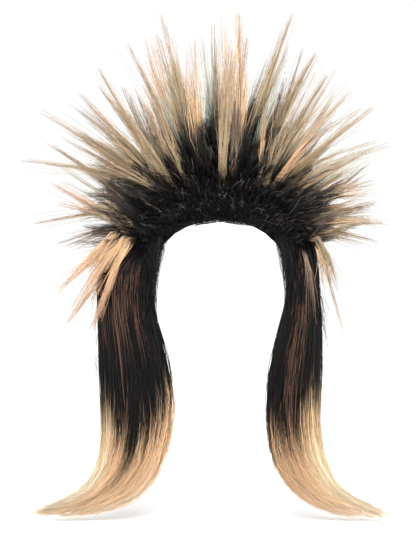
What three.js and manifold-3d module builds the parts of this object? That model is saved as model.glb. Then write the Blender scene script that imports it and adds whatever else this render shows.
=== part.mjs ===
// A spiky costume wig with two long side locks, in millimetres.
// +Z is up, the face looks along -Y, and +X is the wearer's left. The origin is the top of the head inside the cap.
// A stretch net cap carries the hair. Short teased hair wraps it, and spikes fan out of that hair.
import * as THREE from "three";
import { mergeVertices } from "three/addons/utils/BufferGeometryUtils.js";
import Module from "manifold-3d";

// The head that the cap fits
const HEAD_BREADTH = 156;
const HEAD_LENGTH = 196;
const HEAD_RISE = 95; // from the widest level up to the crown
const HEAD_FALL = 140; // how slowly the sides draw in below the widest level

// The cap and its front edge
const CAP_WALL = 1.6;
const HAIRLINE_DROP = 45; // from the crown down to the hairline at the middle of the forehead
const NAPE_DROP = 138;
const EAR_DROP = 125;
const BAND_RADIUS = 2.8;
const BAND_REACH = 78; // degrees round the head, each way from the middle of the forehead

// The short teased hair
const HAIR_DEPTH = 36; // at the crown
const HAIRLINE_DEPTH = 9; // at the rim
const HAIR_RIPPLE = 2.5;
const BAND_MARGIN = 7.5; // bare rim of the cap, where the front band lies
const BACK_MARGIN = 1.5; // bare rim of the cap behind the ears
const SIDE_HAIR_DROP = 76; // lower edge of the short hair above the side locks
const SIDE_LOCK_TURNS = { from: 50, to: 100 }; // degrees round the head from the face
const ROOT_DEPTH = 0.35; // how deep in the short hair a spike is rooted, as a share of the hair's depth

// The spikes
const FAN_DROP = 25; // the middle of the fan lies this far below the crown
const SPIKE_REACH = 200; // from the middle of the fan to a spike's tip
const SPIKE_LIFT = 0.28; // the share of a spike's length that it stands square to the head before it bends
const SPIKE_WIDTH = 11; // across a spike, from its middle to its edge
const SPIKE_DEPTH = 8; // the same, from front to back
const FAN_DEPTH = 80; // how far the fan spreads forwards

// The hair at the back
const BACK_REACH = 118;
const NAPE_REACH = 58;
const NAPE_SAG = 23; // how far the nape's locks drop

// The long side locks
const LOCK_DROP = 368; // from the crown down to the tips
const LOCK_OUT = 215; // from the middle of the face out to the left lock's tip
const LOCK_HALF_WIDTH = 40;
const LOCK_HALF_DEPTH = 27;
const LOCK_AHEAD = 24.5; // the locks' backs lie about this far in front of the ears' line

const CLEARANCE = 0.4; // between neighbouring pieces
const HAIR_AROUND = 24; // faces round the short hair, and half as many ripples
const HAIR_DOWN = 5;
const CAP_AROUND = 36;
const CAP_DOWN = 5;
const SPIKE_SIDES = 5;
const SPIKE_STEPS = 3;
const LOCK_SIDES = 14;
const BAND_STEPS = 36;
const FAR = 2000; // past everything
const PARTING_LEAN = 84; // the fan spreads this far to each side of the vertical, and the ear spikes lie below it
const FOREHEAD_SHARE = 0.58; // of the head's half breadth, between the two temples
const FRONT_PARTING = { place: -0.22, tilt: 8 }; // place is a share of the head's half length
const BACK_PARTING = { place: 0.29, tilt: -16 };
const NAPE_PARTING = { drop: 78, tilt: -80 };

const BLACK_HAIR = { color: 0x17140f, roughness: 0.55, metalness: 0 };
const BLOND_HAIR = { color: 0x9a7d58, roughness: 0.5, metalness: 0 };
const LONG_HAIR = { color: 0x2b231d, roughness: 0.45, metalness: 0 };
const NET = { color: 0xddd5c8, roughness: 0.9, metalness: 0 };
const BAND = { color: 0x0d0c0c, roughness: 0.8, metalness: 0 };

const wasm = await Module();
wasm.setup();

const rad = THREE.MathUtils.degToRad;
const lerp = THREE.MathUtils.lerp;
const clamp = THREE.MathUtils.clamp;

// A table as objects: one name for each column, and one list for each row.
function table(columns, rows) {
  return rows.map((row) => Object.fromEntries(columns.map((name, i) => [name, row[i]])));
}

// How far the cap comes down, by the turn round the head: 0 at the face, 90 at an ear and 180 at the nape.
const CAP_RIM = table(
  ["turn", "from", "drop"],
  [
    [0, "hairline", 1],
    [25, "hairline", 1.1],
    [45, "hairline", 1.4],
    [60, "ear", 0.68],
    [73, "ear", 0.94],
    [86, "ear", 1],
    [100, "ear", 0.86],
    [128, "nape", 0.87],
    [152, "nape", 0.97],
    [180, "nape", 1],
  ],
);
const RIM_DROPS = { hairline: HAIRLINE_DROP, ear: EAR_DROP, nape: NAPE_DROP };

function capRim(turn) {
  const round = Math.abs(turn);
  const next = Math.max(1, CAP_RIM.findIndex((row) => row.turn >= round - 1e-6));
  const [a, b] = [CAP_RIM[next - 1], CAP_RIM[next]];
  const share = (round - a.turn) / (b.turn - a.turn);
  return lerp(a.drop * RIM_DROPS[a.from], b.drop * RIM_DROPS[b.from], share);
}

// The short hair stops a little above the cap's rim, and higher above the side locks.
function hairRim(turn) {
  const round = Math.abs(turn);
  const low = capRim(turn) - (round < SIDE_LOCK_TURNS.to ? BAND_MARGIN : BACK_MARGIN);
  const overLock = round > SIDE_LOCK_TURNS.from && round < SIDE_LOCK_TURNS.to;
  return overLock ? Math.min(low, SIDE_HAIR_DROP) : low;
}

const hairDepth = (share) => lerp(HAIR_DEPTH, HAIRLINE_DEPTH, share ** 3);
const ripple = (turn) => HAIR_RIPPLE * Math.cos((rad(turn) * HAIR_AROUND) / 2);

// The head, as the angle down from the crown at which its surface is `drop` below the crown.
function fallAt(drop) {
  const up = HEAD_RISE - drop;
  return Math.acos(clamp(up / (up > 0 ? HEAD_RISE : HEAD_FALL), -1, 1));
}

// A place on the head, `out` outside it.
function onHead(turn, fall, out = 0) {
  const rise = fall < Math.PI / 2 ? HEAD_RISE : HEAD_FALL;
  const half = new THREE.Vector3(HEAD_BREADTH / 2, HEAD_LENGTH / 2, rise);
  const way = new THREE.Vector3(
    Math.sin(fall) * Math.sin(turn),
    -Math.sin(fall) * Math.cos(turn),
    Math.cos(fall),
  );
  const outwards = way.clone().divide(half).normalize();
  return way.multiply(half).addScaledVector(outwards, out).add(new THREE.Vector3(0, 0, -HEAD_RISE));
}

// Moves each point of a geometry by a function that returns its new place.
function reshape(geometry, place) {
  const points = geometry.getAttribute("position");
  const point = new THREE.Vector3();
  for (let i = 0; i < points.count; i++) {
    point.fromBufferAttribute(points, i);
    const moved = place(point);
    points.setXYZ(i, moved.x, moved.y, moved.z);
  }
  return geometry;
}

function toSolid(geometry) {
  const bare = geometry.clone();
  bare.deleteAttribute("normal");
  bare.deleteAttribute("uv");
  const merged = mergeVertices(bare, 1e-3);
  const vertProperties = merged.getAttribute("position").array;
  const triVerts = new Uint32Array(merged.index.array);
  return new wasm.Manifold(new wasm.Mesh({ numProp: 3, vertProperties, triVerts }));
}

function toGeometry(solid) {
  const mesh = solid.getMesh();
  const geometry = new THREE.BufferGeometry();
  geometry.setAttribute("position", new THREE.BufferAttribute(mesh.vertProperties, 3));
  geometry.setIndex(new THREE.BufferAttribute(mesh.triVerts, 1));
  const flat = geometry.toNonIndexed();
  flat.computeVertexNormals();
  return flat;
}

// A hollow dome round the head, from `inside` to `outside`, down to `rim`. Each is a function of the turn in degrees.
function dome(inside, outside, rim, around, down) {
  const profile = [];
  for (let i = 0; i <= down; i++) profile.push(new THREE.Vector2(i / down, 1));
  for (let i = down; i >= 0; i--) profile.push(new THREE.Vector2(i / down, 0));
  return reshape(new THREE.LatheGeometry(profile.reverse(), around), (p) => {
    const turn = Math.atan2(p.x, p.z);
    const share = Math.hypot(p.x, p.z);
    const degrees = THREE.MathUtils.radToDeg(turn);
    const fall = share * fallAt(rim(degrees));
    return onHead(turn, fall, p.y > 0.5 ? outside(degrees, share) : inside(degrees, share));
  });
}

// The line of a lock: it leaves the head square to it, by `lift` of its length, and bends to its tip.
function lockLine(root, outwards, tip, lift) {
  const bend = root.clone().addScaledVector(outwards, lift * root.distanceTo(tip));
  return new THREE.QuadraticBezierCurve3(root, bend, tip);
}

// A lock of hair along a curve, swelling from its root and then tapering to a point.
function lock(curve, width, depth, across) {
  const fullest = 0.2;
  const rootSize = 0.85;
  const taper = 0.85;
  return reshape(new THREE.ConeGeometry(1, 1, SPIKE_SIDES, SPIKE_STEPS), (p) => {
    const along = clamp(p.y + 0.5, 0, 1);
    const tangent = curve.getTangent(along);
    const side = new THREE.Vector3().crossVectors(across, tangent).normalize();
    const front = new THREE.Vector3().crossVectors(side, tangent).normalize();
    const angle = Math.atan2(p.x, p.z);
    const middle = Math.hypot(p.x, p.z) < 1e-9 ? 0 : 1;
    const swell = along < fullest ? lerp(rootSize, 1, along / fullest) : (1 - along) / (1 - fullest);
    const size = middle * swell ** taper;
    return curve
      .getPoint(along)
      .addScaledVector(side, size * width * Math.sin(angle))
      .addScaledVector(front, size * depth * Math.cos(angle));
  });
}

const HEAD_MIDDLE = new THREE.Vector3(0, 0, -HEAD_RISE);
const FAN_MIDDLE = new THREE.Vector3(0, 0, -FAN_DROP);
const FRONT_TO_BACK = new THREE.Vector3(0, 1, 0);

// A place in the short hair, where it is seen from the middle of the head `lean` degrees off the vertical and `tilt`
// degrees forwards, and the way out of the head there.
function scalp(lean, tilt) {
  const way = new THREE.Vector3(
    Math.sin(rad(lean)),
    -Math.cos(rad(lean)) * Math.sin(rad(tilt)),
    Math.cos(rad(lean)) * Math.cos(rad(tilt)),
  );
  const rise = way.z > 0 ? HEAD_RISE : HEAD_FALL;
  const half = new THREE.Vector3(HEAD_BREADTH / 2, HEAD_LENGTH / 2, rise);
  const size = 1 / way.clone().divide(half).length();
  const outwards = way.clone().divide(half).normalize();
  const turn = THREE.MathUtils.radToDeg(Math.atan2(way.x, -way.y));
  const share = Math.acos(clamp((size * way.z) / rise, -1, 1)) / fallAt(hairRim(turn));
  const depth = CAP_WALL + CLEARANCE + ROOT_DEPTH * hairDepth(Math.min(1, share));
  const root = way.multiplyScalar(size).add(HEAD_MIDDLE).addScaledVector(outwards, depth);
  return { root, outwards };
}

// Where a spike ends: `lean` degrees off the vertical and `reach` of SPIKE_REACH from the middle of the fan, as seen
// from the front, and `ahead` of FAN_DEPTH forwards.
function fanTip(lean, reach, ahead) {
  return new THREE.Vector3(
    reach * SPIKE_REACH * Math.sin(rad(lean)),
    -ahead * FAN_DEPTH,
    reach * SPIKE_REACH * Math.cos(rad(lean)),
  ).add(FAN_MIDDLE);
}

function spike(row) {
  const { root, outwards } = scalp(row.root, row.tilt);
  const tip = fanTip(row.lean, row.reach, row.ahead);
  const line = lockLine(root, outwards, tip, SPIKE_LIFT);
  return toSolid(lock(line, row.width * SPIKE_WIDTH, row.width * SPIKE_DEPTH, FRONT_TO_BACK));
}

// The spikes seen from the front, from the right ear over the crown to the left ear.
// root and tilt are the place on the head, lean, reach and ahead the tip, and width a share of SPIKE_WIDTH.
const SPIKE_COLUMNS = ["root", "tilt", "lean", "reach", "ahead", "width"];
const FRONT_FAN = table(SPIKE_COLUMNS, [
  [-36, 20, -78, 1.08, 0.65, 1],
  [-34, 28, -63, 1.06, 0.85, 0.9],
  [-32, 22, -53, 0.95, 0.5, 0.65],
  [-29, 30, -43, 0.95, 0.9, 0.85],
  [-25, 24, -36, 0.9, 0.6, 0.7],
  [-22, 30, -31, 0.97, 0.8, 1],
  [-16, 26, -24, 0.99, 0.5, 0.8],
  [-11, 28, -18, 1.04, 0.75, 1.15],
  [-6, 34, -9, 0.87, 0.95, 0.85],
  [-1, 28, -3, 0.94, 0.6, 0.7],
  [4, 34, 5, 1, 0.85, 1.05],
  [10, 28, 21, 1.06, 0.7, 1.1],
  [14, 34, 24, 0.85, 0.95, 0.7],
  [19, 26, 33, 0.94, 0.6, 0.85],
  [24, 32, 41, 0.92, 0.85, 0.75],
  [29, 24, 50, 0.92, 0.65, 0.95],
  [32, 30, 58, 0.95, 0.85, 0.7],
  [36, 22, 72, 0.96, 0.6, 0.6],
]);
const CROWN_FAN = table(SPIKE_COLUMNS, [
  [-38, 2, -68, 1, 0.1, 0.65],
  [-34, 8, -57, 0.98, -0.2, 0.7],
  [-29, -4, -46, 0.9, 0.2, 0.75],
  [-24, 8, -38, 0.88, -0.35, 0.8],
  [-19, -6, -28, 0.86, 0.1, 0.75],
  [-14, 8, -21, 0.96, -0.3, 0.9],
  [-9, -4, -14, 0.9, 0.25, 0.85],
  [-4, 4, -6, 0.92, -0.4, 0.8],
  [1, -4, 1, 1.02, 0.05, 0.85],
  [6, 8, 9, 0.9, -0.3, 0.9],
  [11, -4, 15, 0.87, 0.3, 0.9],
  [16, 8, 25, 0.86, -0.25, 1],
  [21, -4, 29, 0.94, 0.15, 0.8],
  [26, 6, 40, 0.9, -0.35, 0.85],
  [31, -4, 47, 0.95, 0.1, 0.8],
  [37, 4, 64, 0.88, -0.1, 0.65],
]);
const RIGHT_EAR_SPIKES = table(SPIKE_COLUMNS, [
  [-42, 42, -84, 0.66, 0.75, 1],
  [-44, 20, -88, 0.74, 0.3, 0.9],
  [-50, 40, -90, 0.88, 0.7, 0.7],
  [-54, 30, -97, 1, 0.55, 0.85],
  [-60, 44, -100, 0.74, 0.75, 0.95],
  [-61, 24, -105, 0.9, 0.35, 0.55],
  [-67, 34, -111, 0.68, 0.5, 0.8],
  [-69, 42, -119, 0.98, 0.85, 0.8],
  [-73, 50, -128, 1.03, 0.98, 0.85],
  [-77, 58, -135, 0.96, 1.06, 0.6],
]);
const LEFT_EAR_SPIKES = table(SPIKE_COLUMNS, [
  [42, 42, 80, 0.66, 0.75, 1],
  [44, 26, 84, 0.84, 0.45, 0.9],
  [50, 40, 90, 0.83, 0.7, 0.9],
  [56, 30, 97, 0.92, 0.5, 0.75],
  [58, 44, 96, 0.62, 0.75, 0.95],
  [62, 26, 105, 0.88, 0.35, 0.55],
  [64, 42, 107, 0.66, 0.7, 0.85],
  [70, 36, 136, 0.94, 0.8, 0.6],
  [74, 46, 143, 0.74, 0.9, 0.55],
]);

// The short hair all round the cap, which the partings then divide.
function shortHair() {
  const inside = () => CAP_WALL + CLEARANCE;
  const outside = (turn, share) => inside() + hairDepth(share) + share * ripple(turn);
  return toSolid(dome(inside, outside, hairRim, HAIR_AROUND, HAIR_DOWN));
}

// The fan's hair lies above two planes that rise outwards from its middle.
function fanZone(grow) {
  const everywhere = toSolid(new THREE.BoxGeometry(FAR, FAR, FAR));
  return [1, -1].reduce((zone, hand) => {
    const inwards = new THREE.Vector3(-hand * Math.cos(rad(PARTING_LEAN)), 0, Math.sin(rad(PARTING_LEAN)));
    return zone.trimByPlane(inwards.toArray(), inwards.dot(FAN_MIDDLE) - grow);
  }, everywhere);
}

// Keeps what lies behind a parting from ear to ear, or in front of it with side -1.
function besideParting(solid, through, tilt, side) {
  const backwards = new THREE.Vector3(0, Math.cos(rad(tilt)), Math.sin(rad(tilt))).multiplyScalar(side);
  return solid.trimByPlane(backwards.toArray(), backwards.dot(through) + CLEARANCE / 2);
}

const frontParting = (solid, side) => {
  const through = new THREE.Vector3(0, (FRONT_PARTING.place * HEAD_LENGTH) / 2, 0);
  return besideParting(solid, through, FRONT_PARTING.tilt, side);
};
const backParting = (solid, side) => {
  const through = new THREE.Vector3(0, (BACK_PARTING.place * HEAD_LENGTH) / 2, 0);
  return besideParting(solid, through, BACK_PARTING.tilt, side);
};
const napeParting = (solid, side) => {
  const through = new THREE.Vector3(0, HEAD_LENGTH / 2, -NAPE_PARTING.drop);
  return besideParting(solid, through, NAPE_PARTING.tilt, side);
};

// Keeps what lies beyond a temple, or inside it with side -1. Hand is 1 at the wearer's left and -1 at the right.
function templeParting(solid, hand, side) {
  const place = (FOREHEAD_SHARE * HEAD_BREADTH) / 2;
  return solid.trimByPlane([hand * side, 0, 0], side * place + CLEARANCE / 2);
}

// The piece of a cut solid that holds together.
function largest(solid) {
  return solid.decompose().reduce((a, b) => (b.volume() > a.volume() ? b : a));
}

const HAIR = shortHair();

// What the cap and the front of the head take up.
function capRoom() {
  const inside = () => -HEAD_BREADTH / 4;
  const outside = () => CAP_WALL + CLEARANCE;
  const rim = (turn) => capRim(turn) + 3 * CLEARANCE;
  return toSolid(dome(inside, outside, rim, CAP_AROUND, CAP_DOWN));
}
const CAP_ROOM = capRoom();

function hairSection(locks, ...cuts) {
  const whole = locks.reduce((solid, one) => solid.add(one), HAIR).subtract(CAP_ROOM);
  return toGeometry(largest(cuts.reduce((solid, cut) => cut(solid), whole)));
}

const inFan = (solid) => solid.intersect(fanZone(-CLEARANCE / 2));
const belowFan = (solid) => solid.subtract(fanZone(CLEARANCE / 2));

const UNEVEN = 0.12; // how far the locks at the back differ from each other
const UP = new THREE.Vector3(0, 0, 1);

// Locks at the back stand out of the head on rings at the given tilts.
function backLocks() {
  const rings = table(
    ["tilt", "count", "spread", "reach", "width"],
    [
      [-30, 8, 52, 1.2, 1.2],
      [-50, 8, 62, 1.02, 1.2],
      [-70, 7, 62, 0.84, 1.2],
    ],
  );
  return rings.flatMap((ring, r) =>
    Array.from({ length: ring.count }, (_, i) => {
      const lean = lerp(-ring.spread, ring.spread, (i + 0.5 * (r % 2)) / (ring.count - 0.5));
      const { root, outwards } = scalp(lean, ring.tilt);
      const longer = 1 + UNEVEN * Math.sin(5 * i + 2 * r);
      const tip = root.clone().addScaledVector(outwards, ring.reach * longer * BACK_REACH);
      tip.z += UNEVEN * BACK_REACH * Math.cos(3 * i + r);
      const line = lockLine(root, outwards, tip, SPIKE_LIFT);
      return toSolid(lock(line, ring.width * SPIKE_WIDTH, ring.width * SPIKE_DEPTH, UP));
    }),
  );
}

// Shorter locks low at the back, over the nape and behind the ears.
function napeLocks() {
  const rings = table(
    ["drop", "count", "from", "reach"],
    [
      [0.6, 7, 112, 1.1],
      [0.76, 8, 116, 0.9],
    ],
  );
  return rings.flatMap((ring, r) =>
    Array.from({ length: ring.count }, (_, i) => {
      const turn = rad(lerp(ring.from, 360 - ring.from, (i + 0.5) / ring.count));
      const fall = fallAt(ring.drop * NAPE_DROP);
      const root = onHead(turn, fall, CAP_WALL + CLEARANCE + HAIRLINE_DEPTH / 2);
      const outwards = root.clone().sub(onHead(turn, fall)).normalize();
      const tip = root.clone().addScaledVector(outwards, ring.reach * NAPE_REACH);
      tip.z -= NAPE_SAG * (1 + 2 * UNEVEN * Math.sin(4 * i + r));
      const line = lockLine(root, outwards, tip, SPIKE_LIFT);
      return toSolid(lock(line, SPIKE_WIDTH, SPIKE_DEPTH, UP));
    }),
  );
}

// A long lock's sections, from the ear to the tip. drop is a share of LOCK_DROP, out of LOCK_OUT, ahead and deep of
// LOCK_HALF_DEPTH, and wide of LOCK_HALF_WIDTH. turn leans the section, in degrees, as the lock curls outwards.
const LOCK_COLUMNS = ["drop", "out", "wide", "ahead", "deep", "turn"];
const RIGHT_LOCK = table(LOCK_COLUMNS, [
  [0.215, 0.4, 0.5, 1.2, 0.95, 0],
  [0.265, 0.455, 0.78, 1.3, 1.05, 0],
  [0.334, 0.472, 0.79, 1.4, 1.08, 0],
  [0.41, 0.467, 0.79, 1.5, 1.05, -3],
  [0.516, 0.437, 0.93, 1.6, 1, -4],
  [0.625, 0.416, 1.02, 1.65, 0.95, -2],
  [0.72, 0.414, 1, 1.65, 0.85, 4],
  [0.81, 0.44, 0.92, 1.62, 0.74, 17],
  [0.885, 0.5, 0.8, 1.6, 0.6, 34],
  [0.94, 0.61, 0.58, 1.6, 0.46, 52],
  [0.975, 0.77, 0.33, 1.6, 0.3, 67],
  [0.99, 0.985, 0.03, 1.6, 0.05, 78],
]);
const LEFT_LOCK = table(LOCK_COLUMNS, [
  [0.215, 0.39, 0.48, 1.2, 0.95, 0],
  [0.265, 0.405, 0.47, 1.3, 1.02, 0],
  [0.334, 0.41, 0.46, 1.4, 1.04, 0],
  [0.4, 0.41, 0.53, 1.5, 1, -3],
  [0.49, 0.39, 0.66, 1.6, 0.96, -6],
  [0.585, 0.372, 0.75, 1.65, 0.92, -3],
  [0.66, 0.365, 0.76, 1.65, 0.85, 0],
  [0.73, 0.366, 0.77, 1.62, 0.76, 6],
  [0.805, 0.385, 0.75, 1.6, 0.68, 18],
  [0.875, 0.442, 0.68, 1.6, 0.57, 34],
  [0.935, 0.54, 0.53, 1.6, 0.44, 52],
  [0.975, 0.67, 0.33, 1.6, 0.28, 66],
  [0.995, 0.872, 0.03, 1.6, 0.05, 78],
]);

// A section's middle, and the two directions across it.
function lockSection(row, hand) {
  const middle = new THREE.Vector3(
    hand * row.out * LOCK_OUT,
    (1 - row.ahead) * LOCK_HALF_DEPTH - LOCK_AHEAD,
    -row.drop * LOCK_DROP,
  );
  const side = new THREE.Vector3(hand * Math.cos(rad(row.turn)), 0, Math.sin(rad(row.turn)));
  return { middle, side };
}

// A long lock: its sections are ovals with a few soft flutes, where the hair gathers into strands.
function longLock(rows, hand) {
  const flutes = 5;
  const fluting = 0.05;
  const body = reshape(
    new THREE.CylinderGeometry(1, 1, 1, LOCK_SIDES, rows.length - 1),
    (p) => {
      const place = Math.round(clamp(0.5 - p.y, 0, 1) * (rows.length - 1));
      const { middle, side } = lockSection(rows[place], hand);
      const angle = Math.atan2(p.x, p.z);
      const size = Math.hypot(p.x, p.z) < 1e-9 ? 0 : 1 + fluting * Math.sin(flutes * angle);
      middle.addScaledVector(side, size * Math.sin(angle) * rows[place].wide * LOCK_HALF_WIDTH);
      middle.y -= hand * size * Math.cos(angle) * rows[place].deep * LOCK_HALF_DEPTH;
      return middle;
    },
  );
  return toSolid(body);
}

// The split ends of a long lock. section is where one leaves it, across how far from its middle, and the rest the tip.
const END_COLUMNS = ["section", "across", "drop", "out", "ahead", "width"];
const LOCK_ENDS = table(END_COLUMNS, [
  [7, 0.3, 0.99, 0.7, 1.9, 0.9],
  [7, -0.3, 0.985, 0.6, 1.4, 0.7],
  [8, 0.2, 0.98, 0.86, 1.4, 0.8],
  [8, 0.5, 0.945, 0.78, 1.7, 0.7],
]);
const END_LIFT = 0.35; // the share of a split end's length that it hangs straight down

function lockEnds(rows, hand) {
  const reach = rows.at(-1).out / RIGHT_LOCK.at(-1).out;
  return LOCK_ENDS.map((end) => {
    const { middle, side } = lockSection(rows[end.section], hand);
    const root = middle.addScaledVector(side, end.across * rows[end.section].wide * LOCK_HALF_WIDTH);
    const tip = lockSection({ ...end, out: end.out * reach, turn: 0 }, hand).middle;
    const line = lockLine(root, new THREE.Vector3(0, 0, -1), tip, END_LIFT);
    return toSolid(lock(line, end.width * SPIKE_WIDTH, end.width * SPIKE_DEPTH, FRONT_TO_BACK));
  });
}

// Room for the side spikes that hang in front of a long lock.
function spikeRoom(rows) {
  const room = rows.map((row) => {
    const { root, outwards } = scalp(row.root, row.tilt);
    const line = lockLine(root, outwards, fanTip(row.lean, row.reach, row.ahead), SPIKE_LIFT);
    const [width, depth] = [SPIKE_WIDTH, SPIKE_DEPTH].map((size) => row.width * size + 2 * CLEARANCE);
    return toSolid(lock(line, width, depth, FRONT_TO_BACK));
  });
  return room.reduce((a, b) => a.add(b));
}

// What the short hair takes up.
function hairRoom() {
  const inside = () => 0;
  const outside = (turn, share) => CAP_WALL + 2 * CLEARANCE + hairDepth(share) + share * ripple(turn);
  const rim = (turn) => hairRim(turn) + CLEARANCE;
  return toSolid(dome(inside, outside, rim, HAIR_AROUND, HAIR_DOWN));
}

function sideLock(rows, hand, spikes) {
  const whole = lockEnds(rows, hand).reduce((solid, end) => solid.add(end), longLock(rows, hand));
  const room = [CAP_ROOM, hairRoom(), spikeRoom(spikes), bandAlongRim(BAND_RADIUS + 2 * CLEARANCE)];
  return toGeometry(largest(room.reduce((solid, taken) => solid.subtract(taken), whole)));
}

// The cap, a thin stretch net.
function cap() {
  const inside = () => 0;
  const outside = () => CAP_WALL;
  return toGeometry(toSolid(dome(inside, outside, capRim, CAP_AROUND, CAP_DOWN)));
}

// The dark band round the face, from ear to ear, just outside the cap's rim. The room that it takes is fatter.
function bandAlongRim(radius) {
  const points = Array.from({ length: BAND_STEPS + 1 }, (_, i) => {
    const turn = lerp(-BAND_REACH, BAND_REACH, i / BAND_STEPS);
    const drop = capRim(turn) - BAND_RADIUS;
    return onHead(rad(turn), fallAt(drop), CAP_WALL + CLEARANCE + BAND_RADIUS);
  });
  const section = new THREE.Shape().absarc(0, 0, radius, 0, 2 * Math.PI);
  const band = new THREE.ExtrudeGeometry(section, {
    steps: BAND_STEPS,
    curveSegments: 3,
    extrudePath: new THREE.CatmullRomCurve3(points),
  });
  return toSolid(band);
}

function frontBand() {
  return toGeometry(bandAlongRim(BAND_RADIUS).subtract(CAP_ROOM).subtract(hairRoom()));
}

const group = new THREE.Group();

function piece(name, geometry, finish) {
  const mesh = new THREE.Mesh(geometry, new THREE.MeshStandardMaterial(finish));
  mesh.name = name;
  group.add(mesh);
}

piece("cap", cap(), NET);
piece("front_band", frontBand(), BAND);
piece(
  "front_fan",
  hairSection(FRONT_FAN.map(spike), inFan, (s) => frontParting(s, -1)),
  BLOND_HAIR,
);
piece(
  "crown_fan",
  hairSection(
    CROWN_FAN.map(spike),
    inFan,
    (s) => frontParting(s, 1),
    (s) => backParting(s, -1),
  ),
  BLOND_HAIR,
);
piece(
  "back_fan",
  hairSection(
    backLocks(),
    (s) => backParting(s, 1),
    (s) => napeParting(s, -1),
  ),
  BLACK_HAIR,
);
piece(
  "nape_hair",
  hairSection(
    napeLocks(),
    (s) => backParting(s, 1),
    (s) => napeParting(s, 1),
  ),
  BLACK_HAIR,
);
piece(
  "forehead_hair",
  hairSection(
    [],
    belowFan,
    (s) => backParting(s, -1),
    (s) => templeParting(s, 1, -1),
    (s) => templeParting(s, -1, -1),
  ),
  BLACK_HAIR,
);
for (const [name, hand, spikes, rows] of [
  ["right", -1, RIGHT_EAR_SPIKES, RIGHT_LOCK],
  ["left", 1, LEFT_EAR_SPIKES, LEFT_LOCK],
]) {
  piece(
    name + "_ear_spikes",
    hairSection(
      spikes.map(spike),
      belowFan,
      (s) => backParting(s, -1),
      (s) => templeParting(s, hand, 1),
    ),
    BLACK_HAIR,
  );
  piece(name + "_side_lock", sideLock(rows, hand, spikes), LONG_HAIR);
}

export default group;
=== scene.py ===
# The looks of a spiky costume wig with two long side locks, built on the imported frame. Metres, +Z up, face along -Y.
import math

import bpy
import numpy as np
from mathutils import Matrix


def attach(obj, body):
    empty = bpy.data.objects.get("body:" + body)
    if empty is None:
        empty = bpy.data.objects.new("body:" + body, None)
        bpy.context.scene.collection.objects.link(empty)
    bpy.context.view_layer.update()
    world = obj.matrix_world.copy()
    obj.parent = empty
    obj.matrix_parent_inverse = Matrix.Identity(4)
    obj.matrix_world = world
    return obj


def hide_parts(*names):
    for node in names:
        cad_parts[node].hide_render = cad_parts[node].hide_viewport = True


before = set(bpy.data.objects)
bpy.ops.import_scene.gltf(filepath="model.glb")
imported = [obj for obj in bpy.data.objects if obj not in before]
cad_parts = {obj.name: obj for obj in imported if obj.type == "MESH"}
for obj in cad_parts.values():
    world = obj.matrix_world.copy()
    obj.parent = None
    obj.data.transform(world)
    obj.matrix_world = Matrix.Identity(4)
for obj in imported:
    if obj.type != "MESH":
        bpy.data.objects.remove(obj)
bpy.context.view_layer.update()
RANDOM = np.random.default_rng(11)

# The head and the cap, as in the frame
HEAD_HALF_BREADTH = 0.078
HEAD_HALF_LENGTH = 0.098
HEAD_RISE = 0.095
HEAD_FALL = 0.140
CAP_OUT = 0.002
HAIR_DEPTH = 0.036
HAIRLINE_DEPTH = 0.009
ROOT_DEPTH = 0.35
HEAD_MIDDLE = np.array([0, 0, -HEAD_RISE])

# The fan of spikes
FAN_MIDDLE = np.array([0, 0, -0.025])
SPIKE_REACH = 0.200
SPIKE_LIFT = 0.28
SPIKE_WIDTH = 0.011
SPIKE_DEPTH = 0.008
FAN_DEPTH = 0.080
NAPE_LOWEST = -0.130
RIM_SPARE = 0.010
EDGE_SPARE = ((0, 35, 44, 54, 62, 75), (0.0018, 0.002, 0.004, 0.0095, 0.012, 0.009))
# Half the width of the face opening, by the drop below the crown
OPEN_TO = ((0.064, 0.067, 0.0865, 0.105, 0.12), (0.0475, 0.0505, 0.0598, 0.0652, 0.067))
HAIR_FURTHEST = 0.103

# The long side locks
LOCK_DROP = 0.368
LOCK_OUT = 0.215
LOCK_HALF_WIDTH = 0.040
LOCK_HALF_DEPTH = 0.027
LOCK_AHEAD = 0.0245

# Single strands
STRAND_RADIUS = 0.00034
TIP_SHARE = 0.3
TONE_COLUMNS = 64
TONES = ("khaki", "peach", "cream", "mint", "taupe", "dark")
TONE_STARTS = (0, 16, 28, 38, 44, 54, 64)
DARK_START = 54


def table(columns, rows):
    return [dict(zip(columns, row)) for row in rows]


# How far down the cap and the short hair come, by the turn round the head from the face.
CAP_RIM = ((0, 25, 45, 60, 73, 86, 100, 128, 152, 180),
           (0.045, 0.050, 0.063, 0.085, 0.117, 0.125, 0.108, 0.120, 0.134, 0.138))
HAIR_RIM = ((0, 25, 45, 60, 75, 90, 105, 128, 152, 180),
            (0.038, 0.042, 0.055, 0.076, 0.076, 0.076, 0.107, 0.118, 0.132, 0.136))

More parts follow.
